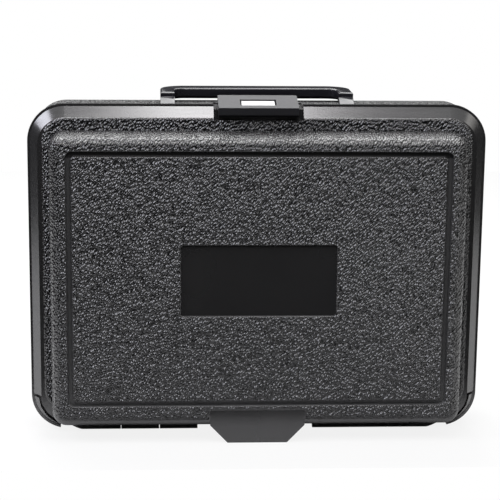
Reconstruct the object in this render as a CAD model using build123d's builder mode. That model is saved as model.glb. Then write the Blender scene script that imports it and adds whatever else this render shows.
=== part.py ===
from build123d import *
from math import radians, tan
import os

# Blow-moulded carrying case for a tester. It stands on its hinged edge: a deep base behind,
# a shallow lid in front, a snap latch on the top edge and a handle folded back behind it.
# X runs along the hinge, Y from the lid to the back panel, Z up, and Z = 0 is the floor.
# A depth is measured from the parting line, positive into the base, negative into the lid.

# Whole case
case_width = 356.0
case_height = 262.5
lid_depth = 34.0
base_depth = 66.0
parting_y = lid_depth - (lid_depth + base_depth) / 2
parting_gap = 0.4

# Base shell
rim_corner = 29.0
rim_floor_gap = 1.6
bead_depth = 4.0
bead_proud = 1.5
base_bottom = 12.3
base_corner = 26.0
base_draft = 2.4
base_back_radius = 14.0

# Lid rim: a bevelled band, then a flat ledge, then the cushion
band_inset = 1.8
band_corner = 27.2
ledge_depth = 7.5
ledge_side_inset = 8.1
ledge_top_inset = 9.9
ledge_bottom = 9.5
ledge_corner = 20.9
band_end = 31.0
cushion_side_inset = 16.5
cushion_top_inset = 19.3
cushion_bottom = 11.3
cushion_corner = 13.0
cushion_draft = 4.5
cushion_radius = 9.5

# Inside of both halves
dish_side_inset = 24.5
dish_bottom = 31.5
dish_top_inset = 26.5
dish_corner = 14.0
dish_draft = 2.0
dish_floor_chamfer = 5.0
base_dish_depth = 57.0
lid_dish_depth = 26.0

# Tongue on the base's land and the groove that it closes into
tongue_offset = 3.0
tongue_width = 3.0
tongue_height = 2.2
tongue_clearance = 0.6

# Frame groove and bare label recess in the lid's panel
frame_side_inset = 30.6
frame_bottom = 30.0
frame_top_inset = 31.7
frame_corner = 5.0
frame_groove_width = 4.2
frame_groove_depth = 2.2
frame_groove_slope = 20.0
label_width = 119.9
label_height = 56.3
label_corner = 2.3
label_depth = 1.2

# Feet in the middle of both lower edges
foot_width = 74.0
foot_tip_width = 46.6
foot_shoulder = 14.2
foot_top = 29.0
foot_depth = 20.0

# Corner lips of the base, which carry the lid's band on around the lower corners
lip_top = 29.0
lip_reach = 22.5
lip_clearance = 2.0
lip_facets = 16

# Hinge: two groups of knuckles on one axis
hinge_z = 6.3
barrel_radius = 5.3
hinge_inner = 46.0
hinge_side_inset = 40.0
hinge_tip_length = 9.5
knuckle_count = 3
knuckle_gap = 0.5
knuckle_clearance = 0.6
hinge_pin_radius = 1.6
hinge_pin_setback = 2.0
pin_fit = 0.02
running_fit = 0.06

# Notch in the rim that holds the latch
notch_width = 69.6
notch_lid_drop = 9.9
notch_base_drop = 2.2
notch_base_depth = 30.0

# Latch
latch_width = 62.0
latch_pivot_depth = -4.5
latch_pivot_drop = 4.6
latch_front_depth = -9.2
latch_rear_depth = 22.0
latch_rear_rise = 6.0
latch_plate = 2.6
latch_skirt = 2.2
latch_skirt_drop = 6.7
latch_skirt_radius = 1.6
latch_barrel_radius = 3.0
latch_corner_radius = 1.5
latch_pin_radius = 1.3
latch_pin_length = 56.0
window_width = 28.0
window_front_depth = -2.6
window_rear_depth = 11.3

# Lugs of the lid that carry the latch pin, under the latch's plate
lug_centre = 19.0
lug_width = 7.0
lug_radius = 2.6
lug_side_gap = 0.5
lug_stem_front = 2.2
lug_bridge_drop = 1.0
lug_bridge_rise = 1.5

# Catch nub of the base, seen in the latch's window
nub_side_gap = 1.2
nub_front_depth = 0.9
nub_rear_gap = 0.8
nub_sink = 0.7
nub_front_sink = 1.3
nub_root = 1.5

# Handle
handle_width = 151.2
handle_arm = 11.3
handle_grip = 18.0
handle_end_depth = 64.2
handle_arm_start = 20.5
handle_thickness = 8.3
handle_outer_radius = 19.0
handle_inner_radius = 8.0
handle_edge_chamfer = 2.2
handle_root_setback = 5.2
handle_rise = 0.6
handle_pivot_depth = 12.5
handle_pivot_drop = 4.4
handle_eye_radius = 5.0
handle_pin_radius = 2.0
handle_pin_overlap = 5.0
pocket_side_gap = 1.5
pocket_front_gap = 2.0
pocket_rear_gap = 5.0
pocket_floor_gap = 1.0

# Foam
foam_clearance = 0.4
foam_lid_gap = 1.0
base_pad_thickness = 10.0
tester_pocket_width = 104.0
tester_pocket_corner = 8.0
tester_end_wall = 11.25
lead_pocket_width = 62.0
lead_pocket_corner = 10.0
lead_end_wall = 26.25
pocket_wall = 12.0

dish_width = case_width - 2 * dish_side_inset
dish_top = case_height - dish_top_inset
frame_width = case_width - 2 * frame_side_inset
frame_top = case_height - frame_top_inset
lip_inner = case_width / 2 - lip_reach
hinge_outer = case_width / 2 - hinge_side_inset
tester_pocket_height = dish_top - dish_bottom - 2 * tester_end_wall
lead_pocket_height = dish_top - dish_bottom - 2 * lead_end_wall
band_top = case_height - band_inset
latch_pivot_y = parting_y + latch_pivot_depth
latch_pivot_z = band_top - latch_pivot_drop
handle_pivot_y = parting_y + handle_pivot_depth
handle_pivot_z = band_top - handle_pivot_drop
knuckle_pitch = (hinge_outer - hinge_inner) / knuckle_count
base_top = case_height - bead_proud


def facing(depth):
    """Upright plane at a depth, looking towards the front of the lid."""
    return Plane.XZ.offset(-(parting_y + depth))


def backing(depth):
    """Upright plane at a depth, looking towards the back of the base."""
    return Plane(origin=(0, parting_y + depth, 0), x_dir=(-1, 0, 0), z_dir=(0, 1, 0))


def panel(plane, width, bottom, top, corner):
    """Rounded upright rectangle, centred on the case, between two heights."""
    with BuildSketch(plane) as outline:
        with Locations((0, (bottom + top) / 2)):
            RectangleRounded(width, top - bottom, corner)
    return outline.sketch


def frame(plane, width, bottom, top, corner, line):
    """Rounded upright rectangular ring of a given line width."""
    with BuildSketch(plane) as outline:
        with Locations((0, (bottom + top) / 2)):
            RectangleRounded(width, top - bottom, corner)
            RectangleRounded(
                width - 2 * line,
                top - bottom - 2 * line,
                corner - line / 2,
                mode=Mode.SUBTRACT,
            )
    return outline.sketch


def foot_outline(plane):
    """Foot that narrows to its tip below the shoulder."""
    with BuildSketch(plane) as outline:
        with BuildLine():
            Polyline(
                (-foot_width / 2, foot_top),
                (-foot_width / 2, foot_shoulder),
                (-foot_tip_width / 2, 0),
                (foot_tip_width / 2, 0),
                (foot_width / 2, foot_shoulder),
                (foot_width / 2, foot_top),
                close=True,
            )
        make_face()
    return outline.sketch


def disc_across(start_x, centre_y, centre_z, radius):
    """Circle in an upright plane square to X, for barrels, pins and bores."""
    with BuildSketch(Plane.YZ.offset(start_x)) as outline:
        with Locations((centre_y, centre_z)):
            Circle(radius)
    return outline.sketch


def band_loft(start_depth):
    """The rim's bevelled band, from the parting line to the ledge."""
    wide = panel(
        facing(start_depth),
        case_width - 2 * band_inset,
        rim_floor_gap + band_inset,
        band_top,
        band_corner,
    )
    narrow = panel(
        facing(-ledge_depth),
        case_width - 2 * ledge_side_inset,
        ledge_bottom,
        case_height - ledge_top_inset,
        ledge_corner,
    )
    return [wide.face(), narrow.face()]


def dish_sections(direction, depth):
    """Mouth, foot of the drafted wall and floor of a dish, 1 into the base or -1 into the lid."""
    wall_depth = depth - dish_floor_chamfer
    wall_inset = wall_depth * tan(radians(dish_draft))
    sections = []
    for level, inset in ((0, 0), (wall_depth, wall_inset), (depth, wall_inset + dish_floor_chamfer)):
        section = panel(
            facing(direction * level),
            dish_width - 2 * inset,
            dish_bottom + inset,
            dish_top - inset,
            dish_corner - inset,
        )
        sections.append(section.face())
    return sections


def knuckles(owner):
    """Start and length along X of the base's knuckles (owner 0) or the lid's (owner 1)."""
    spans = []
    for index in range(owner, knuckle_count, 2):
        start = hinge_inner + index * knuckle_pitch + knuckle_gap / 2
        length = knuckle_pitch - knuckle_gap
        spans.append((start, length))
        spans.append((-start - length, length))
    return spans


# Base shell: a drafted tray with a rounded back, moulded with double walls
with BuildPart() as base_shell:
    extrude(
        panel(backing(0), case_width - 2 * bead_proud, base_bottom, base_top, base_corner),
        amount=base_depth,
        taper=base_draft,
    )
    fillet(base_shell.faces().sort_by(Axis.Y)[-1].edges(), base_back_radius)

    # bead around the parting line, left out between the lower corners
    with BuildSketch(backing(0)) as bead_outline:
        with Locations((0, (rim_floor_gap + case_height) / 2)):
            RectangleRounded(case_width, case_height - rim_floor_gap, rim_corner)
        with Locations((0, rim_floor_gap)):
            Rectangle(2 * lip_inner, 2 * (base_bottom - rim_floor_gap), mode=Mode.SUBTRACT)
    extrude(amount=bead_depth)

    # foot
    extrude(foot_outline(backing(base_depth - foot_depth)), amount=foot_depth)

# corner lips: the band's bevel carried on around the lower corners, turned about the hinge
# axis so that the lid clears them as it opens
with BuildPart() as corner_lips:
    loft(band_loft(0), ruled=True)
    with BuildSketch(facing(0)) as lip_profile:
        for side in (-1, 1):
            with Locations((side * (lip_inner + lip_reach / 2), (hinge_z + lip_top) / 2)):
                Rectangle(lip_reach, lip_top - hinge_z)
        for side in (-1, 1):
            corner_x = case_width / 2 - rim_corner
            with Locations((side * corner_x, ledge_bottom + ledge_corner)):
                RegularPolygon(
                    ledge_corner + lip_clearance,
                    lip_facets,
                    major_radius=False,
                    mode=Mode.SUBTRACT,
                )
    revolve(
        lip_profile.sketch,
        axis=Axis((0, parting_y, hinge_z), (1, 0, 0)),
        mode=Mode.INTERSECT,
    )

with base_shell:
    add(corner_lips.part)

    # dish for the contents
    loft(dish_sections(1, base_dish_depth), ruled=True, mode=Mode.SUBTRACT)

    # tongue on the land
    extrude(
        frame(
            facing(0),
            dish_width + 2 * (tongue_offset + tongue_width),
            dish_bottom - tongue_offset - tongue_width,
            dish_top + tongue_offset + tongue_width,
            dish_corner + tongue_offset + tongue_width,
            tongue_width,
        ),
        amount=tongue_height + parting_gap,
    )

    # channel in the top edge under the latch
    with BuildSketch(backing(0)) as latch_channel:
        with Locations((0, band_top - notch_base_drop)):
            Rectangle(notch_width, notch_base_drop + latch_rear_rise, align=(Align.CENTER, Align.MIN))
    extrude(amount=notch_base_depth, mode=Mode.SUBTRACT)

    # catch nub, a ramp that rises to the rear just below the latch's plate
    plate_slope = latch_rear_rise / (latch_rear_depth - latch_front_depth)
    nub_rear_depth = window_rear_depth - nub_rear_gap
    nub_width = window_width - 2 * nub_side_gap
    nub_front_top = band_top + plate_slope * (nub_front_depth - latch_front_depth) - nub_front_sink
    nub_rear_top = band_top + plate_slope * (nub_rear_depth - latch_front_depth) - nub_sink
    nub_foot = band_top - notch_base_drop - nub_root
    with BuildSketch(Plane.YZ.offset(-nub_width / 2)) as nub_profile:
        with BuildLine():
            Polyline(
                (parting_y + nub_front_depth, nub_foot),
                (parting_y + nub_front_depth, nub_front_top),
                (parting_y + nub_rear_depth, nub_rear_top),
                (parting_y + nub_rear_depth, nub_foot),
                close=True,
            )
        make_face()
    extrude(amount=nub_width)

    # pockets for the handle's eyes, with the pin bores through their side walls
    arm_centre = (handle_width - handle_arm) / 2
    pocket_width = handle_arm + 2 * pocket_side_gap
    pocket_front = handle_pivot_depth - handle_eye_radius - pocket_front_gap
    pocket_rear = handle_arm_start + pocket_rear_gap
    pocket_floor = handle_pivot_z - handle_eye_radius - pocket_floor_gap
    handle_pin_length = pocket_width + 2 * handle_pin_overlap
    for side in (-1, 1):
        with BuildSketch(backing(pocket_front)) as eye_pocket:
            with Locations((-side * arm_centre, pocket_floor)):
                Rectangle(pocket_width, case_height - pocket_floor, align=(Align.CENTER, Align.MIN))
        extrude(amount=pocket_rear - pocket_front, mode=Mode.SUBTRACT)
        extrude(
            disc_across(
                side * arm_centre - handle_pin_length / 2,
                handle_pivot_y,
                handle_pivot_z,
                handle_pin_radius + pin_fit,
            ),
            amount=handle_pin_length,
            mode=Mode.SUBTRACT,
        )

    # room for the lid's knuckles, then the base's own knuckles with their webs
    for start, length in knuckles(1):
        extrude(
            disc_across(
                start - knuckle_gap,
                parting_y,
                hinge_z,
                barrel_radius + knuckle_clearance,
            ),
            amount=length + 2 * knuckle_gap,
            mode=Mode.SUBTRACT,
        )
    for start, length in knuckles(0):
        extrude(disc_across(start, parting_y, hinge_z, barrel_radius), amount=length)
        with BuildSketch(Plane.YZ.offset(start)) as web:
            with Locations((parting_y, hinge_z)):
                Rectangle(
                    barrel_radius,
                    base_bottom + base_depth * tan(radians(base_draft)) - hinge_z,
                    align=(Align.MIN, Align.MIN),
                )
        extrude(amount=length)

    # the barrel carried on outside the outermost knuckles, cut off slanting from below
    for side in (-1, 1):
        tip_start = side * (hinge_outer - knuckle_gap / 2)
        tip_end = tip_start + side * hinge_tip_length
        tip_middle = (tip_start + tip_end) / 2
        extrude(
            disc_across(tip_middle - hinge_tip_length / 2, parting_y, hinge_z, barrel_radius),
            amount=hinge_tip_length,
        )
        with BuildSketch(facing(0)) as tip_slant:
            with BuildLine():
                Polyline(
                    (tip_start, hinge_z - barrel_radius),
                    (tip_end, hinge_z - barrel_radius),
                    (tip_end, hinge_z),
                    close=True,
                )
            make_face()
        extrude(amount=2 * barrel_radius, both=True, mode=Mode.SUBTRACT)

    # bores for the hinge pins, open at the inner ends
    for start in (hinge_inner, -hinge_outer + hinge_pin_setback):
        extrude(
            disc_across(start, parting_y, hinge_z, hinge_pin_radius + pin_fit),
            amount=hinge_outer - hinge_inner - hinge_pin_setback,
            mode=Mode.SUBTRACT,
        )

base_shell.part.label = "base_shell"


# Lid shell: cushion-shaped front panel inside a flat ledge and a bevelled band
with BuildPart() as lid_shell:
    extrude(
        panel(
            facing(-ledge_depth),
            case_width - 2 * cushion_side_inset,
            cushion_bottom,
            case_height - cushion_top_inset,
            cushion_corner,
        ),
        amount=lid_depth - ledge_depth,
        taper=cushion_draft,
    )
    fillet(lid_shell.faces().sort_by(Axis.Y)[0].edges(), cushion_radius)

    # band along the top and the sides only
    loft(band_loft(-parting_gap), ruled=True)
    with BuildSketch(facing(0)) as below_band:
        Rectangle(2 * case_width, band_end, align=(Align.CENTER, Align.MIN))
    extrude(amount=ledge_depth, mode=Mode.SUBTRACT)

    # ledge plate behind the cushion, all the way round
    extrude(
        panel(
            facing(-parting_gap),
            case_width - 2 * ledge_side_inset,
            ledge_bottom,
            case_height - ledge_top_inset,
            ledge_corner,
        ),
        amount=ledge_depth - parting_gap,
    )

    # foot, flush with the front panel
    extrude(foot_outline(facing(foot_depth - lid_depth)), amount=foot_depth)

    # dish for the foam pad
    loft(dish_sections(-1, lid_dish_depth), ruled=True, mode=Mode.SUBTRACT)

    # groove for the base's tongue
    extrude(
        frame(
            facing(-parting_gap),
            dish_width + 2 * (tongue_offset + tongue_width + tongue_clearance),
            dish_bottom - tongue_offset - tongue_width - tongue_clearance,
            dish_top + tongue_offset + tongue_width + tongue_clearance,
            dish_corner + tongue_offset + tongue_width + tongue_clearance,
            tongue_width + 2 * tongue_clearance,
        ),
        amount=tongue_height + tongue_clearance,
        mode=Mode.SUBTRACT,
    )

    # frame groove and bare label recess in the front panel
    extrude(
        frame(backing(-lid_depth), frame_width, frame_bottom, frame_top, frame_corner, frame_groove_width),
        amount=frame_groove_depth,
        taper=frame_groove_slope,
        mode=Mode.SUBTRACT,
    )
    label_middle = (frame_bottom + frame_top) / 2
    extrude(
        panel(
            backing(-lid_depth),
            label_width,
            label_middle - label_height / 2,
            label_middle + label_height / 2,
            label_corner,
        ),
        amount=label_depth,
        taper=frame_groove_slope,
        mode=Mode.SUBTRACT,
    )

    # notch in the band for the latch
    with BuildSketch(facing(0)) as latch_notch:
        with Locations((0, band_top - notch_lid_drop)):
            Rectangle(notch_width, 2 * notch_lid_drop, align=(Align.CENTER, Align.MIN))
    extrude(amount=ledge_depth, mode=Mode.SUBTRACT)

    # lugs for the latch pin: a ring carried from behind by a stem
    stem_back = -latch_pivot_depth - parting_gap
    for side in (-1, 1):
        lug_start = side * lug_centre - lug_width / 2
        with BuildSketch(Plane.YZ.offset(lug_start)) as lug_profile:
            with Locations((latch_pivot_y, latch_pivot_z)):
                Circle(lug_radius)
            with Locations((latch_pivot_y, latch_pivot_z - lug_bridge_drop)):
                Rectangle(stem_back, lug_bridge_drop + lug_bridge_rise, align=(Align.MIN, Align.MIN))
            with Locations((latch_pivot_y + lug_stem_front, latch_pivot_z + lug_bridge_rise)):
                Rectangle(
                    stem_back - lug_stem_front,
                    notch_lid_drop - latch_pivot_drop + lug_bridge_rise + latch_plate,
                    align=(Align.MIN, Align.MAX),
                )
            with Locations((latch_pivot_y, latch_pivot_z)):
                Circle(latch_pin_radius + pin_fit, mode=Mode.SUBTRACT)
        extrude(amount=lug_width)

    # room for the base's knuckles and their tips, then the lid's own knuckles
    for start, length in knuckles(0):
        extrude(
            disc_across(
                start - knuckle_gap,
                parting_y,
                hinge_z,
                barrel_radius + knuckle_clearance,
            ),
            amount=length + 2 * knuckle_gap,
            mode=Mode.SUBTRACT,
        )
    for start in (hinge_outer - knuckle_gap, -hinge_outer - hinge_tip_length - knuckle_gap):
        extrude(
            disc_across(start, parting_y, hinge_z, barrel_radius + knuckle_clearance),
            amount=hinge_tip_length + 2 * knuckle_gap,
            mode=Mode.SUBTRACT,
        )
    for start, length in knuckles(1):
        extrude(disc_across(start, parting_y, hinge_z, barrel_radius), amount=length)
        with BuildSketch(Plane.YZ.offset(start)) as web:
            with Locations((parting_y - parting_gap, hinge_z)):
                Rectangle(
                    barrel_radius - parting_gap,
                    cushion_bottom - hinge_z,
                    align=(Align.MAX, Align.MIN),
                )
        extrude(amount=length)
        extrude(
            disc_across(start, parting_y, hinge_z, hinge_pin_radius + running_fit),
            amount=length,
            mode=Mode.SUBTRACT,
        )

lid_shell.part.label = "lid_shell"


# Hinge pins: steel wire through each group of knuckles
hinge_pins = []
for side, name in ((-1, "hinge_pin_left"), (1, "hinge_pin_right")):
    pin_length = hinge_outer - hinge_inner - 2 * hinge_pin_setback
    pin_start = side * (hinge_outer + hinge_inner) / 2 - pin_length / 2
    with BuildPart() as hinge_pin:
        extrude(disc_across(pin_start, parting_y, hinge_z, hinge_pin_radius), amount=pin_length)
    hinge_pin.part.label = name
    hinge_pins.append(hinge_pin.part)


# Latch: a sloping plate with a front skirt, a window for the nub and a hidden barrel
with BuildPart() as latch:
    latch_front_y = parting_y + latch_front_depth
    latch_rear_y = parting_y + latch_rear_depth
    latch_rear_z = band_top + latch_rear_rise
    with BuildSketch(Plane.YZ.offset(-latch_width / 2)) as latch_profile:
        with BuildLine():
            Polyline(
                (latch_front_y, band_top),
                (latch_rear_y, latch_rear_z),
                (latch_rear_y, latch_rear_z - latch_plate),
                (latch_front_y, band_top - latch_plate),
                close=True,
            )
        make_face()
        with Locations((latch_front_y, band_top)):
            Rectangle(latch_skirt, latch_skirt_drop, align=(Align.MIN, Align.MAX))
        with Locations((latch_pivot_y, latch_pivot_z)):
            Circle(latch_barrel_radius)
        front_lower = latch_profile.vertices().group_by(Axis.X)[0].sort_by(Axis.Y)[0]
        fillet(front_lower, latch_skirt_radius)
    extrude(amount=latch_width)

    # window over the nub
    with BuildSketch(Plane.XY.offset(band_top)) as window:
        with Locations((0, parting_y + (window_front_depth + window_rear_depth) / 2)):
            Rectangle(window_width, window_rear_depth - window_front_depth)
    window_reach = latch_pivot_drop + latch_barrel_radius + latch_plate
    extrude(amount=window_reach, both=True, mode=Mode.SUBTRACT)

    # slots for the lid's lugs, and the pin bore
    for side in (-1, 1):
        slot_width = lug_width + 2 * lug_side_gap
        slot_start = side * lug_centre - slot_width / 2
        extrude(
            disc_across(slot_start, latch_pivot_y, latch_pivot_z, latch_barrel_radius),
            amount=slot_width,
            mode=Mode.SUBTRACT,
        )
    extrude(
        disc_across(-latch_pin_length / 2, latch_pivot_y, latch_pivot_z, latch_pin_radius + running_fit),
        amount=latch_pin_length,
        mode=Mode.SUBTRACT,
    )
    rear_corners = latch.edges().filter_by(Axis.Z).group_by(Axis.Y)[-1]
    fillet(rear_corners, latch_corner_radius)

latch.part.label = "latch"

with BuildPart() as latch_pin:
    extrude(
        disc_across(-latch_pin_length / 2 + running_fit, latch_pivot_y, latch_pivot_z, latch_pin_radius),
        amount=latch_pin_length - 2 * running_fit,
    )

latch_pin.part.label = "latch_pin"


# Handle: a flat grip on two arms that dip to eyes in the base's pockets
handle_floor = base_top + handle_rise - (handle_arm_start * tan(radians(base_draft)))
with BuildPart() as handle:
    with BuildSketch(Plane.XY.offset(handle_floor)) as handle_outline:
        arm_start_y = parting_y + handle_arm_start
        handle_end_y = parting_y + handle_end_depth
        handle_reach = handle_end_depth - handle_arm_start
        with Locations((0, handle_end_y)):
            Rectangle(handle_width, handle_reach, align=(Align.CENTER, Align.MAX))
        rear_vertices = handle_outline.vertices().group_by(Axis.Y)[-1]
        fillet(rear_vertices, handle_outer_radius)
        with BuildSketch(mode=Mode.SUBTRACT) as finger_space:
            with Locations((0, handle_end_y - handle_grip)):
                Rectangle(handle_width - 2 * handle_arm, handle_reach, align=(Align.CENTER, Align.MAX))
            fillet(finger_space.vertices().group_by(Axis.Y)[-1], handle_inner_radius)
    extrude(amount=handle_thickness)
    top_edges = handle.faces().sort_by(Axis.Z)[-1].edges()
    bottom_edges = handle.faces().sort_by(Axis.Z)[0].edges()
    chamfer(top_edges + bottom_edges, handle_edge_chamfer)

    # arms' ends, from the flat grip down to the eyes
    for side in (-1, 1):
        with BuildSketch(Plane.YZ.offset(side * arm_centre - handle_arm / 2)) as arm_end:
            with Locations((handle_pivot_y, handle_pivot_z)):
                Circle(handle_eye_radius)
            with Locations((arm_start_y + handle_root_setback, handle_floor + handle_thickness / 2)):
                Rectangle(2 * handle_edge_chamfer, handle_thickness - 2 * handle_edge_chamfer)
            make_hull()
            with Locations((handle_pivot_y, handle_pivot_z)):
                Circle(handle_pin_radius + running_fit, mode=Mode.SUBTRACT)
        extrude(amount=handle_arm)

handle.part.label = "handle"


# Handle pins: one steel pin through each eye, held in the pocket's side walls
handle_pins = []
for side, name in ((-1, "handle_pin_left"), (1, "handle_pin_right")):
    with BuildPart() as handle_pin:
        extrude(
            disc_across(
                side * arm_centre - handle_pin_length / 2 + pin_fit,
                handle_pivot_y,
                handle_pivot_z,
                handle_pin_radius,
            ),
            amount=handle_pin_length - 2 * pin_fit,
        )
    handle_pin.part.label = name
    handle_pins.append(handle_pin.part)


def foam_panel(plane, deepest, floor_inset=0):
    """Outline of a straight-sided foam block that fits the drafted dish down to a depth."""
    inset = deepest * tan(radians(dish_draft)) + foam_clearance + floor_inset
    return panel(
        plane,
        dish_width - 2 * inset,
        dish_bottom + inset,
        dish_top - inset,
        dish_corner,
    )


# Foam pad on the flat of the base's floor, inside the dish's chamfer
pad_back = base_dish_depth - foam_clearance
pad_front = pad_back - base_pad_thickness
with BuildPart() as base_foam_pad:
    extrude(foam_panel(backing(pad_front), pad_back, dish_floor_chamfer), amount=base_pad_thickness)

base_foam_pad.part.label = "base_foam_pad"

# Foam tray with a pocket for the tester between two pockets for its leads
tray_back = pad_front - foam_clearance
dish_middle = (dish_bottom + dish_top) / 2
with BuildPart() as base_foam_tray:
    extrude(foam_panel(backing(foam_lid_gap), tray_back), amount=tray_back - foam_lid_gap)
    with BuildSketch(backing(foam_lid_gap)) as pockets:
        with Locations((0, dish_middle)):
            RectangleRounded(tester_pocket_width, tester_pocket_height, tester_pocket_corner)
        lead_x = tester_pocket_width / 2 + pocket_wall + lead_pocket_width / 2
        with Locations((-lead_x, dish_middle), (lead_x, dish_middle)):
            RectangleRounded(lead_pocket_width, lead_pocket_height, lead_pocket_corner)
    extrude(amount=tray_back - foam_lid_gap, mode=Mode.SUBTRACT)

base_foam_tray.part.label = "base_foam_tray"

# Foam pad in the lid
lid_pad_depth = lid_dish_depth - foam_clearance
with BuildPart() as lid_foam_pad:
    extrude(foam_panel(facing(-foam_lid_gap), lid_pad_depth), amount=lid_pad_depth - foam_lid_gap)
    chamfer(lid_foam_pad.faces().sort_by(Axis.Y)[0].edges(), dish_floor_chamfer)

lid_foam_pad.part.label = "lid_foam_pad"


os.makedirs("parts", exist_ok=True)
pieces = [
    base_shell.part,
    lid_shell.part,
    *hinge_pins,
    latch.part,
    latch_pin.part,
    handle.part,
    *handle_pins,
    base_foam_pad.part,
    base_foam_tray.part,
    lid_foam_pad.part,
]
for piece in pieces:
    export_step(piece, f"parts/{piece.label}.step")
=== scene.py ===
from math import cos, pi, radians, sin

import bmesh
import bpy
import numpy as np
from mathutils import Matrix, Vector
from mathutils.geometry import tessellate_polygon


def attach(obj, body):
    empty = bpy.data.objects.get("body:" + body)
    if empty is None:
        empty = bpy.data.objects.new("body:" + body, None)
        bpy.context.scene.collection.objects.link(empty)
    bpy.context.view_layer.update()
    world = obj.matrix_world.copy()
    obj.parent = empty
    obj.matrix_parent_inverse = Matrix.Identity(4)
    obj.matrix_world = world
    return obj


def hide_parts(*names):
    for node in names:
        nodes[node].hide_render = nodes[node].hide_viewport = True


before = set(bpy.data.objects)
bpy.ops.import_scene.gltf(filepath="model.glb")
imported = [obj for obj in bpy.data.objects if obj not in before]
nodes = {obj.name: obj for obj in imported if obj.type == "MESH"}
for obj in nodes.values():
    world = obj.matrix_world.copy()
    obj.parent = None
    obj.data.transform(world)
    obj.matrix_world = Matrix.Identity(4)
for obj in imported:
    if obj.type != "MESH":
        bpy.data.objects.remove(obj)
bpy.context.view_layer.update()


# Camera. It stands in front of the lid, a little to the left and above, turned slightly to the
# right and tilted down, with a long lens that keeps the upright edges nearly parallel.
camera_place = Vector((-0.0765, -1.2840, 0.4289))
camera_turn = radians(3.21)
camera_tilt = radians(12.5)
camera_roll = radians(0.61)
ahead = Vector((sin(camera_turn) * cos(camera_tilt), cos(camera_turn) * cos(camera_tilt), -sin(camera_tilt)))
level = Vector((cos(camera_turn), -sin(camera_turn), 0))
upright = level.cross(ahead)
across = level * cos(camera_roll) + upright * sin(camera_roll)
above = upright * cos(camera_roll) - level * sin(camera_roll)
camera = bpy.data.objects.new("camera", bpy.data.cameras.new("camera"))
camera.data.sensor_width = 36
camera.data.lens = 119.15
camera.matrix_world = Matrix.Translation(camera_place) @ Matrix((across, above, -ahead)).transposed().to_4x4()
bpy.context.scene.collection.objects.link(camera)
bpy.context.scene.camera = camera


# Base shell. The deep rear half is blow-moulded in black polyethylene: its outside carries the
# mould's pebbled grain, while the bead, the foot, the latch's channel and the inside are smooth.
# Each outline is a half width, a bottom, a top and a corner radius.
foot_outline = (0.038, -0.010, 0.027, 0.002)
dish_rim = (0.1545, 0.0305, 0.237, 0.014)
channel_outline = (0.0352, 0.254, 0.270, 0.001)


def fresh_material(name):
    """Empty plastic-like material: the material, its tree and its shader."""
    material = bpy.data.materials.new(name)
    material.use_nodes = True
    tree = material.node_tree
    return material, tree, tree.nodes["Principled BSDF"]


def add_node(tree, kind, inputs, **settings):
    """New node whose inputs take plain values or another node's output."""
    node = tree.nodes.new(kind)
    for name, value in settings.items():
        setattr(node, name, value)
    for key, value in inputs.items():
        if isinstance(value, bpy.types.NodeSocket):
            tree.links.new(value, node.inputs[key])
        else:
            node.inputs[key].default_value = value
    return node


def calc(tree, operation, *terms):
    """Output of one step of arithmetic on two or three terms, such as a product or a power."""
    return add_node(tree, "ShaderNodeMath", dict(enumerate(terms)), operation=operation).outputs[0]


def calc_vector(tree, operation, *terms):
    """Node of one step on vectors, such as a difference or the larger of each pair."""
    return add_node(tree, "ShaderNodeVectorMath", dict(enumerate(terms)), operation=operation)


def fade(tree, value, start, end):
    """Zero at the start value, one at the end value and an S curve between them."""
    limits = {"Value": value, "From Min": start, "From Max": end}
    return add_node(tree, "ShaderNodeMapRange", limits, interpolation_type="SMOOTHSTEP").outputs[0]


def noise(tree, place, scale, detail):
    """Soft noise from zero to one, whose marks are about one metre over the scale in size."""
    inputs = {"Vector": place, "Scale": scale, "Detail": detail}
    return add_node(tree, "ShaderNodeTexNoise", inputs).outputs["Fac"]


def mix_numbers(tree, share, first, second):
    """The first number where the share is zero and the second where it is one."""
    ends = {0: share, 2: first, 3: second}
    return add_node(tree, "ShaderNodeMix", ends, data_type="FLOAT").outputs[0]


def mix_colours(tree, share, first, second):
    """The first colour where the share is zero and the second where it is one."""
    ends = {0: share, 6: first, 7: second}
    return add_node(tree, "ShaderNodeMix", ends, data_type="RGBA").outputs[2]


def two_tones(tree, value, dark, light, start=0.0, end=1.0):
    """Dark where the value is at or below the start, light at or above the end, and even between."""
    node = add_node(tree, "ShaderNodeValToRGB", {0: value})
    low, high = node.color_ramp.elements
    low.position = start
    low.color = (*dark, 1)
    high.position = end
    high.color = (*light, 1)
    return node.outputs[0]


def all_of(tree, *masks):
    """Product of the masks, so that it is one only where each of them is one."""
    product = masks[0]
    for mask in masks[1:]:
        product = calc(tree, "MULTIPLY", product, mask)
    return product


def panel_distance(tree, place, outline):
    """Distance outside a rounded upright rectangle, measured across the panel, negative inside:
    the length of what lies past the corner centres, less the corner radius. The outline is its
    half width, bottom, top and corner radius."""
    half_width, bottom, top, corner = outline
    flat = calc_vector(tree, "MULTIPLY", place, (1, 0, 1)).outputs[0]
    centred = calc_vector(tree, "SUBTRACT", flat, (0, 0, (bottom + top) / 2)).outputs[0]
    folded = calc_vector(tree, "ABSOLUTE", centred).outputs[0]
    straight = (half_width - corner, 0, (top - bottom) / 2 - corner)
    past = calc_vector(tree, "SUBTRACT", folded, straight).outputs[0]
    ahead_of_corner = calc_vector(tree, "MAXIMUM", past, (0, 0, 0)).outputs[0]
    length = calc_vector(tree, "LENGTH", ahead_of_corner).outputs["Value"]
    parts = add_node(tree, "ShaderNodeSeparateXYZ", {0: past})
    inner = calc(tree, "MINIMUM", calc(tree, "MAXIMUM", parts.outputs[0], parts.outputs[2]), 0.0)
    return calc(tree, "SUBTRACT", calc(tree, "ADD", length, inner), corner)


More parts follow.
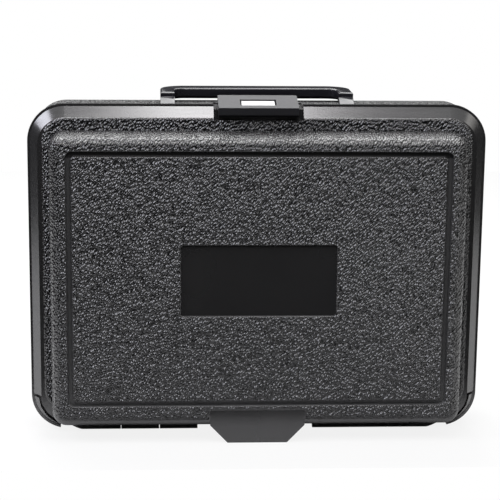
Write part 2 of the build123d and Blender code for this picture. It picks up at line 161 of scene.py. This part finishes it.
def grain_height(tree, place):
    """Pebbles about 1.4 mm wide and 2.9 mm long: one less a power of the distance to the nearest
    scattered point, which gives them flanks nearly straight and a rounded top. The pattern is
    narrowed across a slanting line, drawn out along it and shifted by a soft noise, so that the
    pebbles are short slanting strokes."""
    lean = {0: place, 2: (0, radians(28), 0), 3: (0.60, 1.0, 1.20)}
    slim = add_node(tree, "ShaderNodeMapping", lean, vector_type="TEXTURE").outputs[0]
    drift = add_node(tree, "ShaderNodeTexNoise", {"Vector": place, "Scale": 150.0, "Detail": 1.0})
    shift = calc_vector(tree, "SUBTRACT", drift.outputs["Color"], (0.5, 0.5, 0.5)).outputs[0]
    shift = calc_vector(tree, "MULTIPLY", shift, (0.0022, 0.0022, 0.0022)).outputs[0]
    moved = calc_vector(tree, "ADD", slim, shift).outputs[0]
    cells = add_node(tree, "ShaderNodeTexVoronoi", {"Vector": moved, "Scale": 420.0, "Randomness": 0.85})
    return calc(tree, "SUBTRACT", 1.0, calc(tree, "POWER", cells.outputs["Distance"], 1.3))


def shell_plastic(name, grained, matt_and_painted_light=None):
    """Black polyethylene. The grained mask is one where the pebbles are and zero where the mould is
    smooth; the smooth parts have faint flow marks along the case. The pebbles' colour is painted
    shade in their hollows and a painted highlight on their tops. A matt and painted light mask is one
    where the smooth mould is rougher, so that it scatters more light, and its colour is painted paler."""
    material, tree, shader = fresh_material(name)
    place = add_node(tree, "ShaderNodeTexCoord", {}).outputs["Object"]
    mask = grained(tree, place)
    cloud = noise(tree, place, scale=14.0, detail=3.0)
    smooth_tone = two_tones(tree, cloud, (0.0240, 0.0238, 0.0246), (0.0320, 0.0314, 0.0320), 0.3, 0.7)
    grain = grain_height(tree, place)
    # Painted shade and highlight: the pebbles' colour is near black in their hollows and lighter on their
    # tops.
    pebble_painted_shade_and_highlight = two_tones(tree, grain, (0.0020, 0.0020, 0.0024), (0.0110, 0.0105, 0.0115), 0.30, 0.85)
    long_marks = calc_vector(tree, "MULTIPLY", place, (20, 400, 400)).outputs[0]
    flow = noise(tree, long_marks, scale=1.0, detail=2.0)
    lowest_rough = 0.17
    flow_rough = 0.10
    smooth_rough = calc(tree, "MULTIPLY_ADD", flow, flow_rough, lowest_rough)
    if matt_and_painted_light:
        matt_rough = 0.30
        # Painted light: the groove's colour is painted paler than the smooth mould.
        painted_light_tone = (0.075, 0.075, 0.077, 1)
        groove_matt_and_light_share = matt_and_painted_light(tree, place)
        smooth_rough = calc(tree, "MULTIPLY_ADD", groove_matt_and_light_share, matt_rough, smooth_rough)
        smooth_tone = mix_colours(tree, groove_matt_and_light_share, smooth_tone, painted_light_tone)
    tree.links.new(mix_colours(tree, mask, smooth_tone, pebble_painted_shade_and_highlight), shader.inputs["Base Color"])
    ends = {"Value": grain, "To Min": 0.34, "To Max": 0.15}
    pebble_rough = add_node(tree, "ShaderNodeMapRange", ends).outputs[0]
    tree.links.new(mix_numbers(tree, mask, smooth_rough, pebble_rough), shader.inputs["Roughness"])
    flow_height = 0.01
    pebbles = calc(tree, "MULTIPLY", grain, mask)
    height = calc(tree, "MULTIPLY_ADD", flow, flow_height, pebbles)
    bump = add_node(tree, "ShaderNodeBump", {"Strength": 1.0, "Distance": 0.0021, "Height": height})
    tree.links.new(bump.outputs[0], shader.inputs["Normal"])
    shader.inputs["Specular IOR Level"].default_value = 1.0
    return material


def base_grain(tree, place):
    """Grained behind the bead, apart from the foot, the latch's channel and the inside."""
    parts = add_node(tree, "ShaderNodeSeparateXYZ", {0: place})
    behind_bead = fade(tree, parts.outputs[1], -0.0118, -0.0112)
    off_foot = fade(tree, panel_distance(tree, place, foot_outline), -0.0005, 0.001)
    outside_dish = fade(tree, panel_distance(tree, place, dish_rim), -0.0005, 0.0005)
    past_dish = fade(tree, parts.outputs[1], 0.0425, 0.0435)
    outside_dish = calc(tree, "MAXIMUM", outside_dish, past_dish)
    off_channel = fade(tree, panel_distance(tree, place, channel_outline), -0.0002, 0.0002)
    past_channel = fade(tree, parts.outputs[1], 0.0135, 0.0145)
    off_channel = calc(tree, "MAXIMUM", off_channel, past_channel)
    return all_of(tree, behind_bead, off_foot, outside_dish, off_channel)


nodes["base_shell"].data.materials[0] = shell_plastic("base_shell_plastic", base_grain)


# Lid shell. The shallow front half is moulded like the base: its cushion and ledge are grained,
# while the bevelled band, the frame groove, the label recess and the foot are smooth. The frame
# groove is also rougher and its colour is painted paler, as painted light, apart from its top run.
band_outline = (0.1665, 0.019, 0.2524, 0.018)
label_outline = (0.05995, 0.10225, 0.15855, 0.0023)
groove_outer = (0.1474, 0.030, 0.2308, 0.005)
groove_inner = (0.1432, 0.0342, 0.2266, 0.003)


def lid_grain(tree, place):
    """Grained in front of the bevelled band and inside its outline, apart from the frame groove, the
    label recess, the foot and the lid's inside. The grain is half as deep on the cushion's rounded
    edge, where the plastic was stretched."""
    parts = add_node(tree, "ShaderNodeSeparateXYZ", {0: place})
    before_band = fade(tree, parts.outputs[1], -0.0231, -0.0235)
    inside_band = fade(tree, panel_distance(tree, place, band_outline), 0.0008, -0.0012)
    out_of_outer = fade(tree, panel_distance(tree, place, groove_outer), -0.0002, 0.0006)
    in_inner = fade(tree, panel_distance(tree, place, groove_inner), 0.0002, -0.0006)
    off_groove = calc(tree, "MAXIMUM", out_of_outer, in_inner)
    off_label = fade(tree, panel_distance(tree, place, label_outline), 0.0, 0.0006)
    off_foot = fade(tree, panel_distance(tree, place, foot_outline), -0.0005, 0.001)
    outside_dish = fade(tree, panel_distance(tree, place, dish_rim), -0.0005, 0.0005)
    on_panel = fade(tree, parts.outputs[1], -0.0445, -0.0455)
    outside_dish = calc(tree, "MAXIMUM", outside_dish, on_panel)
    behind_face = fade(tree, parts.outputs[1], -0.0498, -0.0480)
    before_side = fade(tree, parts.outputs[1], -0.026, -0.036)
    rounded_edge = calc(tree, "MULTIPLY", behind_face, before_side)
    depth = calc(tree, "MULTIPLY_ADD", rounded_edge, -0.5, 1.0)
    return all_of(tree, before_band, inside_band, off_groove, off_label, off_foot, outside_dish, depth)


def lid_groove(tree, place):
    """One in the frame groove below its top run, where the groove is rougher and painted paler as
    painted light, and zero elsewhere: inside the groove's outer outline, outside its inner one and in
    front of the lid's inside."""
    parts = add_node(tree, "ShaderNodeSeparateXYZ", {0: place})
    in_outer = fade(tree, panel_distance(tree, place, groove_outer), 0.0006, -0.0002)
    out_of_inner = fade(tree, panel_distance(tree, place, groove_inner), -0.0006, 0.0002)
    below_top = fade(tree, parts.outputs[2], 0.2262, 0.2252)
    on_panel = fade(tree, parts.outputs[1], -0.0445, -0.0455)
    return all_of(tree, in_outer, out_of_inner, below_top, on_panel)


nodes["lid_shell"].data.materials[0] = shell_plastic("lid_shell_plastic", lid_grain, lid_groove)


# Pins. The hinge, latch and handle turn on plain drawn-steel pins, bright, with fine marks round
# them from the drawing and cutting.
def drawn_steel(name):
    """Bright steel whose roughness changes in fine rings along the pin."""
    material, tree, shader = fresh_material(name)
    place = add_node(tree, "ShaderNodeTexCoord", {}).outputs["Object"]
    lowest_rough = 0.18
    rough_span = 0.25
    rings = calc_vector(tree, "MULTIPLY", place, (4000, 300, 300)).outputs[0]
    marks = noise(tree, rings, scale=1.0, detail=2.0)
    rough = calc(tree, "MULTIPLY_ADD", marks, rough_span, lowest_rough)
    tree.links.new(rough, shader.inputs["Roughness"])
    bump = add_node(tree, "ShaderNodeBump", {"Strength": 0.3, "Distance": 0.00005, "Height": marks})
    tree.links.new(bump.outputs[0], shader.inputs["Normal"])
    shader.inputs["Metallic"].default_value = 1.0
    shader.inputs["Base Color"].default_value = (0.55, 0.55, 0.56, 1)
    return material


pin_steel = drawn_steel("pin_steel")
for pin in ("hinge_pin_left", "hinge_pin_right", "latch_pin", "handle_pin_left", "handle_pin_right"):
    nodes[pin].data.materials[0] = pin_steel


# Latch and handle. Both are injection moulded: the latch has a fine matt finish, and the handle a
# glossier one with faint marks along its grip. A copy of the handle stands for its plain solid,
# with a sharper edge round its top, which mirrors a thin bright line.
def moulded_plastic(name, dark, light, rough_low, rough_span, gloss, bump_depth, stretch):
    """Injection-moulded plastic: a soft cloud of two tones, and a fine noise for the finish. The
    stretch is how finely the noise changes along X, Y and Z."""
    material, tree, shader = fresh_material(name)
    place = add_node(tree, "ShaderNodeTexCoord", {}).outputs["Object"]
    cloud = noise(tree, place, scale=30.0, detail=3.0)
    tree.links.new(two_tones(tree, cloud, dark, light), shader.inputs["Base Color"])
    drawn_out = calc_vector(tree, "MULTIPLY", place, stretch).outputs[0]
    fine = noise(tree, drawn_out, scale=1.0, detail=3.0)
    rough = calc(tree, "MULTIPLY_ADD", fine, rough_span, rough_low)
    tree.links.new(rough, shader.inputs["Roughness"])
    bump = add_node(tree, "ShaderNodeBump", {"Strength": 0.5, "Distance": bump_depth, "Height": fine})
    tree.links.new(bump.outputs[0], shader.inputs["Normal"])
    shader.inputs["Specular IOR Level"].default_value = gloss
    return material


nodes["latch"].data.materials[0] = moulded_plastic(
    "latch_plastic",
    dark=(0.022, 0.022, 0.025),
    light=(0.032, 0.032, 0.035),
    rough_low=0.43,
    rough_span=0.18,
    gloss=0.13,
    bump_depth=0.00010,
    stretch=(1200, 1200, 1200),
)


def tighten_top_edge(mesh, leg, small_leg):
    """Makes the 45 degree cut along the top's edges smaller. A point of the cut goes up by its depth
    below the top and outwards by the rest of the leg, both times the share by which the leg shrinks,
    so that it stays on a 45 degree slope."""
    points = np.empty(len(mesh.vertices) * 3)
    mesh.vertices.foreach_get("co", points)
    points = points.reshape(-1, 3)
    corner_point = np.empty(len(mesh.loops), int)
    mesh.loops.foreach_get("vertex_index", corner_point)
    corner_count = np.empty(len(mesh.polygons), int)
    mesh.polygons.foreach_get("loop_total", corner_count)
    facing = np.empty(len(mesh.polygons) * 3)
    mesh.polygons.foreach_get("normal", facing)
    facing = np.repeat(facing.reshape(-1, 3), corner_count, axis=0)
    slope_slack = 0.02
    shortest_outward = 0.1
    depth_slack = 0.00001
    sloping = np.abs(facing[:, 2] - sin(radians(45))) < slope_slack
    outward = np.zeros((len(points), 2))
    np.add.at(outward, corner_point[sloping], facing[sloping, :2])
    length = np.hypot(outward[:, 0], outward[:, 1])
    depth = points[:, 2].max() - points[:, 2]
    cut = (length > shortest_outward) & (depth < leg + depth_slack)
    share = 1 - small_leg / leg
    points[cut, :2] += outward[cut] / length[cut, None] * ((leg - depth[cut]) * share)[:, None]
    points[cut, 2] += depth[cut] * share
    mesh.vertices.foreach_set("co", points.ravel())
    mesh.update()


merge_reach = 1e-6
handle_mesh = nodes["handle"].data.copy()
merged = bmesh.new()
merged.from_mesh(handle_mesh)
bmesh.ops.remove_doubles(merged, verts=merged.verts, dist=merge_reach)
bmesh.ops.dissolve_limit(merged, angle_limit=radians(1.0), verts=merged.verts, edges=merged.edges)
merged.to_mesh(handle_mesh)
merged.free()
tighten_top_edge(handle_mesh, leg=0.0022, small_leg=0.0007)
handle_mesh.polygons.foreach_set("use_smooth", np.ones(len(handle_mesh.polygons), bool))
handle_mesh.set_sharp_from_angle(angle=radians(40))
handle_mesh.materials[0] = moulded_plastic(
    "handle_plastic",
    dark=(0.011, 0.011, 0.014),
    light=(0.016, 0.016, 0.020),
    rough_low=0.10,
    rough_span=0.08,
    gloss=0.5,
    bump_depth=0.00001,
    stretch=(60, 500, 500),
)
grip = bpy.data.objects.new("handle_grip", handle_mesh)
bpy.context.scene.collection.objects.link(grip)
soft_edge = grip.modifiers.new("soft_edge", "BEVEL")
soft_edge.width = 0.0003
soft_edge.segments = 2
soft_edge.angle_limit = radians(30)
soft_edge.use_clamp_overlap = False
soft_edge.harden_normals = True
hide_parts("handle")
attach(grip, "handle")


# Foam. Die-cut charcoal foam: a flat pad lies on the base's floor, a tray with a pocket for the
# tester and two for its leads is pushed in over it, and a waved pad is glued into the lid.
parting_y = -0.016
dish_half_width = 0.1535
dish_bottom = 0.0315
dish_top = 0.2360
dish_corner = 0.014
foam_draft = sin(radians(2.0)) / cos(radians(2.0))
foam_gap = 0.0004


def foam_material(name):
    """Open-cell foam: small scattered pores over a softer unevenness, painted darker in the pores as painted
    shade, and no gloss.
    """
    material, tree, shader = fresh_material(name)
    place = add_node(tree, "ShaderNodeTexCoord", {}).outputs["Object"]
    pores = add_node(tree, "ShaderNodeTexVoronoi", {"Vector": place, "Scale": 900.0}).outputs["Distance"]
    uneven = noise(tree, place, scale=160.0, detail=4.0)
    # Painted shade in the pores: the colour is darkest at each pore and lighter away from it.
    painted_pore_shade = two_tones(tree, pores, (0.020, 0.020, 0.023), (0.055, 0.055, 0.060), end=0.55)
    tree.links.new(painted_pore_shade, shader.inputs["Base Color"])
    height = calc(tree, "ADD", pores, uneven)
    bump = add_node(tree, "ShaderNodeBump", {"Strength": 0.9, "Distance": 0.0006, "Height": height})
    tree.links.new(bump.outputs[0], shader.inputs["Normal"])
    shader.inputs["Roughness"].default_value = 0.95
    shader.inputs["Specular IOR Level"].default_value = 0.15
    return material


def rounded_outline(half_width, bottom, top, corner):
    """Points round an upright rectangle with round corners, anticlockwise from its lower right:
    each corner is a quarter circle in 9 points about the corner's own centre."""
    turn = np.linspace(-pi / 2, 0, 9)
    centres = np.array(
        [
            (half_width - corner, bottom + corner),
            (half_width - corner, top - corner),
            (corner - half_width, top - corner),
            (corner - half_width, bottom + corner),
        ]
    )
    angles = turn[None, :] + np.arange(4)[:, None] * pi / 2
    points = centres[:, None, :] + corner * np.stack((np.cos(angles), np.sin(angles)), axis=-1)
    return points.reshape(-1, 2)


def dish_outline(depth, inset):
    """The dish's drafted outline at a depth from the parting line, less the foam's gap and an inset.
    The corner radius shrinks by 0.6 of the inset."""
    shrink = depth * foam_draft + foam_gap + inset
    corner = dish_corner - inset * 0.6
    return rounded_outline(dish_half_width - shrink, dish_bottom + shrink, dish_top - shrink, corner)


def stack_rings(outlines, depths):
    """Outlines in the X and Z plane set at their depths along Y, as one array of rings."""
    rings = np.empty((len(outlines), len(outlines[0]), 3))
    rings[:, :, [0, 2]] = np.array(outlines)
    rings[:, :, 1] = np.array(depths)[:, None]
    return rings


def ring_quads(ring_count, point_count, first):
    """Quads between neighbouring closed rings, numbered from the first vertex."""
    ring, point = np.meshgrid(np.arange(ring_count - 1), np.arange(point_count), indexing="ij")
    follow = (point + 1) % point_count
    corners = (
        ring * point_count + point,
        ring * point_count + follow,
        (ring + 1) * point_count + follow,
        (ring + 1) * point_count + point,
    )
    return (np.stack(corners, axis=-1).reshape(-1, 4) + first).tolist()


def foam_piece(name, node, body, vertices, faces):
    """Closed foam mesh with outward faces, which stands for its plain solid."""
    mesh = bpy.data.meshes.new(name)
    mesh.from_pydata(vertices.tolist(), [], faces)
    sides = bmesh.new()
    sides.from_mesh(mesh)
    bmesh.ops.remove_doubles(sides, verts=sides.verts, dist=merge_reach)
    bmesh.ops.recalc_face_normals(sides, faces=sides.faces)
    sides.to_mesh(mesh)
    sides.free()
    mesh.polygons.foreach_set("use_smooth", np.ones(len(mesh.polygons), bool))
    mesh.set_sharp_from_angle(angle=radians(50))
    mesh.materials.append(foam)
    piece = bpy.data.objects.new(name, mesh)
    bpy.context.scene.collection.objects.link(piece)
    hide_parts(node)
    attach(piece, body)


def cut_block(front, back, edge, side_gap, holes):
    """Foam block between two depths with rounded edges, cut through by round-cornered holes. Each
    wall is the outline carried from front to back, drawn in by a quarter circle of 5 points at both
    edges, and the two faces are filled between the outline and the holes."""
    quarter = np.linspace(0, pi / 2, 5)
    drawn_in = edge * (1 - np.sin(quarter))
    stand_off = edge * (1 - np.cos(quarter))
    insets = np.concatenate((drawn_in, drawn_in[::-1]))
    depths = np.concatenate((front + stand_off, back - stand_off[::-1]))
    outlines = [dish_outline(depth, inset + side_gap) for depth, inset in zip(depths, insets)]
    walls = [stack_rings(outlines, depths + parting_y)]
    for centre, half_width, bottom, top, corner in holes:
        outlines = []
        for inset in insets:
            hole = rounded_outline(half_width + inset, bottom - inset, top + inset, corner + inset)
            outlines.append(hole + np.array((centre, 0)))
        walls.append(stack_rings(outlines, depths + parting_y))
    faces = []
    front_rings = []
    back_rings = []
    first = 0
    for wall in walls:
        rows, columns = wall.shape[:2]
        faces += ring_quads(rows, columns, first)
        front_rings.append(first + np.arange(columns))
        back_rings.append(first + (rows - 1) * columns + np.arange(columns))
        first += rows * columns
    vertices = np.concatenate([wall.reshape(-1, 3) for wall in walls])
    for rings in (front_rings, back_rings):
        loops = [[Vector(point) for point in vertices[ring]] for ring in rings]
        fills = tessellate_polygon(loops)
        faces += np.concatenate(rings)[np.array(fills)].tolist()
    return vertices, faces


def waved_sheets(columns, rows, pitch, depth, corner):
    """Front and back of the lid's pad, as two grids of points. The front is a product of two cosine
    waves along X and Z, which fades to flat at the pad's edge; the back is flat and drawn in all
    round. Past the centre of a rounded corner, a point keeps its direction and comes in by the ratio
    of the longer side to the diagonal, so that the square grid becomes a rounded rectangle."""
    edge_depth = 0.001
    crest_depth = 0.0012
    back_depth = 0.0254
    thickness = 0.0245
    back_inset = 0.0055
    edge_steepness = 14
    draft_in = edge_depth * foam_draft + foam_gap
    half_width = dish_half_width - draft_in
    half_rise = (dish_top - dish_bottom) / 2 - draft_in
    middle = (dish_top + dish_bottom) / 2
    across_pad, up_pad = np.meshgrid(np.linspace(-1, 1, columns), np.linspace(-1, 1, rows), indexing="ij")
    reach_x = across_pad * half_width
    reach_z = up_pad * half_rise
    past_x = np.maximum(np.abs(reach_x) - (half_width - corner), 0)
    past_z = np.maximum(np.abs(reach_z) - (half_rise - corner), 0)
    longer = np.maximum(past_x, past_z)
    round_off = np.where(longer > 0, longer / np.maximum(np.hypot(past_x, past_z), 1e-9), 1.0)
    flat_x = np.sign(reach_x) * (np.abs(reach_x) - past_x + past_x * round_off)
    flat_z = np.sign(reach_z) * (np.abs(reach_z) - past_z + past_z * round_off)
    edge_share = np.clip((1 - np.maximum(np.abs(across_pad), np.abs(up_pad))) * edge_steepness, 0, 1)
    waves = 0.5 - 0.5 * np.cos(2 * pi * flat_x / pitch) * np.cos(2 * pi * flat_z / pitch)
    front_y = parting_y - crest_depth - depth * waves * edge_share
    back_y = np.full_like(front_y, parting_y - back_depth)
    draw_in = 1 - (thickness * foam_draft + back_inset) / half_width
    front = np.stack((flat_x, front_y, flat_z + middle), axis=-1)
    back = np.stack((flat_x * draw_in, back_y, flat_z * draw_in + middle), axis=-1)
    return np.concatenate((front.reshape(-1, 3), back.reshape(-1, 3)))


def closed_sheet_faces(columns, rows):
    """Quads of two grids of points and of the strip that joins their borders."""
    column, row = np.meshgrid(np.arange(columns - 1), np.arange(rows - 1), indexing="ij")
    cell = column * rows + row
    front = np.stack((cell, cell + 1, cell + rows + 1, cell + rows), axis=-1).reshape(-1, 4)
    count = columns * rows
    border = np.concatenate(
        (
            np.arange(columns) * rows,
            (columns - 1) * rows + np.arange(1, rows),
            np.arange(columns - 2, -1, -1) * rows + rows - 1,
            np.arange(rows - 2, 0, -1),
        )
    )
    follow = np.roll(border, -1)
    sides = np.stack((border, follow, follow + count, border + count), axis=-1)
    return np.concatenate((front, front[:, ::-1] + count, sides)).tolist()


foam = foam_material("foam")
pad_vertices, pad_faces = cut_block(front=0.0466, back=0.0566, edge=0.0015, side_gap=0.005, holes=[])
foam_piece("foam_floor_pad", "base_foam_pad", "base", pad_vertices, pad_faces)

# each pocket's centre, half width, bottom, top and corner radius
pockets = [
    (0.0, 0.052, 0.04275, 0.22475, 0.008),
    (-0.095, 0.031, 0.05775, 0.20975, 0.010),
    (0.095, 0.031, 0.05775, 0.20975, 0.010),
]
tray_vertices, tray_faces = cut_block(front=0.001, back=0.0462, edge=0.0016, side_gap=0.0, holes=pockets)
foam_piece("foam_pocket_tray", "base_foam_tray", "base", tray_vertices, tray_faces)

wave_columns = 150
wave_rows = 100
wave_vertices = waved_sheets(wave_columns, wave_rows, pitch=0.026, depth=0.011, corner=0.012)
wave_faces = closed_sheet_faces(wave_columns, wave_rows)
foam_piece("foam_waved_pad", "lid_foam_pad", "lid", wave_vertices, wave_faces)


# Studio. The case stands on a plain white table, with soft boxes overhead, in front, at both sides
# and above and behind it. The top edge mirrors the one behind and the upper part of the backdrop.
# Table and backdrop glow for the camera, so that the picture's white stays even.
def soft_box(name, place, aim, width, height, power, colour):
    """Rectangular lamp turned to face a point, hidden from the camera."""
    lamp = bpy.data.lights.new(name, "AREA")
    lamp.shape = "RECTANGLE"
    lamp.size = width
    lamp.size_y = height
    lamp.energy = power
    lamp.color = colour
    holder = bpy.data.objects.new(name, lamp)
    holder.location = place
    holder.rotation_euler = (Vector(aim) - Vector(place)).to_track_quat("-Z", "Y").to_euler()
    holder.visible_camera = False
    bpy.context.scene.collection.objects.link(holder)


# each lamp's place, the point it faces, its width, height, power in watts and colour
soft_box("lamp_overhead", (0.01, -0.30, 1.36), (0.01, -0.28, 0.26), 0.25, 0.60, 5.0, (1.0, 0.98, 1.0))
soft_box("lamp_front", (0.0, -0.80, 1.25), (0.0, -0.05, 0.15), 1.50, 0.40, 6.2, (0.97, 0.97, 1.0))
soft_box("lamp_left", (-1.00, -0.20, 0.95), (0.0, -0.03, 0.15), 0.40, 0.60, 7.0, (0.90, 0.91, 1.0))
soft_box("lamp_right", (1.10, -0.25, 0.85), (0.0, -0.03, 0.15), 0.50, 0.50, 1.7, (1.0, 0.97, 0.93))
soft_box("lamp_back", (-0.13, 0.72, 1.20), (0.0, 0.0, 0.26), 1.05, 1.10, 23.0, (1.0, 1.0, 1.0))

table = bpy.data.objects.new("table", bpy.data.meshes.new("table"))
table_corners = [(-0.9, -0.11, 0), (0.9, -0.11, 0), (0.9, 1.2, 0), (-0.9, 1.2, 0)]
table.data.from_pydata(table_corners, [], [(0, 1, 2, 3)])
bpy.context.scene.collection.objects.link(table)
table_white, table_tree, table_shader = fresh_material("table_white")
table_shader.inputs["Base Color"].default_value = (0.72, 0.72, 0.72, 1)
table_shader.inputs["Roughness"].default_value = 0.9
glow_share = 0.86
rays = add_node(table_tree, "ShaderNodeLightPath", {})
glow = add_node(table_tree, "ShaderNodeEmission", {"Color": (1, 1, 1, 1), "Strength": 1.0})
seen = calc(table_tree, "MULTIPLY", rays.outputs["Is Camera Ray"], glow_share)
blend = add_node(table_tree, "ShaderNodeMixShader", {0: seen, 1: table_shader.outputs[0], 2: glow.outputs[0]})
table_tree.links.new(blend.outputs[0], table_tree.nodes["Material Output"].inputs[0])
table.data.materials.append(table_white)

world = bpy.data.worlds.new("studio")
bpy.context.scene.world = world
world.use_nodes = True
sky = world.node_tree
room_light = 0.04
ceiling_light = 0.60
sky_rays = add_node(sky, "ShaderNodeLightPath", {})
direction = add_node(sky, "ShaderNodeTexCoord", {}).outputs["Generated"]
heading = add_node(sky, "ShaderNodeSeparateXYZ", {0: direction})
steep = fade(sky, heading.outputs[2], 0.45, 0.80)
room = calc(sky, "MULTIPLY_ADD", steep, ceiling_light, room_light)
behind = fade(sky, heading.outputs[1], 0.1, 0.4)
high = fade(sky, heading.outputs[2], 0.22, 0.36)
mirrored = all_of(sky, behind, high, sky_rays.outputs["Is Glossy Ray"])
shown = calc(sky, "MAXIMUM", sky_rays.outputs["Is Camera Ray"], sky_rays.outputs["Is Transmission Ray"])
shown = calc(sky, "MAXIMUM", shown, mirrored)
backdrop = sky.nodes["Background"]
backdrop.inputs["Color"].default_value = (1, 1, 1, 1)
sky.links.new(mix_numbers(sky, shown, room, 1.0), backdrop.inputs["Strength"])

bpy.context.scene.view_settings.view_transform = "Standard"
